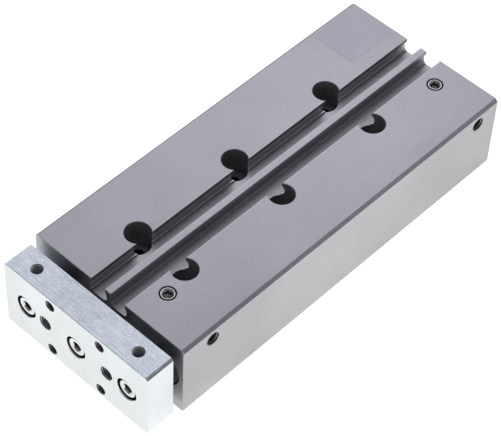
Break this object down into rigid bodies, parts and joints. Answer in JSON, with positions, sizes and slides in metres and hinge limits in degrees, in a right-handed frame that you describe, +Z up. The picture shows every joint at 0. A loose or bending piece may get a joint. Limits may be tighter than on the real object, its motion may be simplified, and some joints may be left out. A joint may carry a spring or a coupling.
{
  "type": "guided pneumatic cylinder",
  "caption": "Compact guided air cylinder: flat housing with sensor slots and counterbored mounting holes; a yoke plate slides out on one piston rod between two guide rods.",
  "frame": {"origin": "middle of the mounting screw holes, on the mounting face under the housing", "axes": "+X along the stroke towards the yoke plate, +Y across the housing towards the side with the open air ports, +Z up from the mounting face"},
  "size_m": [0.149, 0.06, 0.028],
  "materials": {
    "anodised_aluminium": "matt clear anodised",
    "cover_aluminium": "turned",
    "plated_steel": "milled, bright plated",
    "screw_steel": "bright plated",
    "ground_steel": "hard chromed and ground",
    "spring_steel": "phosphated",
    "bronze": "sintered, oiled",
    "nitrile_rubber": "moulded",
    "bumper_rubber": "moulded",
    "felt": "oiled felt",
    "magnet": "plastic-bonded ferrite",
    "bearing_plastic": "moulded"
  },
  "bodies": {
    "cylinder_body": {"housing": "anodised_aluminium", "front_port_plug": "screw_steel", "rear_port_plug": "screw_steel", "rod_cover": "cover_aluminium", "rod_cover_oring": "nitrile_rubber", "rod_seal": "nitrile_rubber", "rod_bush": "bronze", "front_retaining_ring": "spring_steel", "head_cover": "cover_aluminium", "head_cover_oring": "nitrile_rubber", "rear_retaining_ring": "spring_steel", "wiper_holder_port_side": "bronze", "wiper_felt_port_side": "felt", "front_guide_bush_port_side": "bronze", "guide_spacer_port_side": "cover_aluminium", "rear_guide_bush_port_side": "bronze", "wiper_holder_far_side": "bronze", "wiper_felt_far_side": "felt", "front_guide_bush_far_side": "bronze", "guide_spacer_far_side": "cover_aluminium", "rear_guide_bush_far_side": "bronze"},
    "slide": {"yoke_plate": "plated_steel", "piston_rod": "ground_steel", "piston_rod_screw": "screw_steel", "piston": "cover_aluminium", "wear_ring": "bearing_plastic", "magnet_ring": "magnet", "piston_seal": "nitrile_rubber", "front_bumper": "bumper_rubber", "rear_bumper": "bumper_rubber", "guide_rod_port_side": "ground_steel", "guide_rod_screw_port_side": "screw_steel", "guide_rod_far_side": "ground_steel", "guide_rod_screw_far_side": "screw_steel"}
  },
  "joints": [
    {"name": "stroke", "type": "slide", "parent": "cylinder_body", "child": "slide", "axis": [1, 0, 0], "range_m": [0, 0.1]}
  ]
}
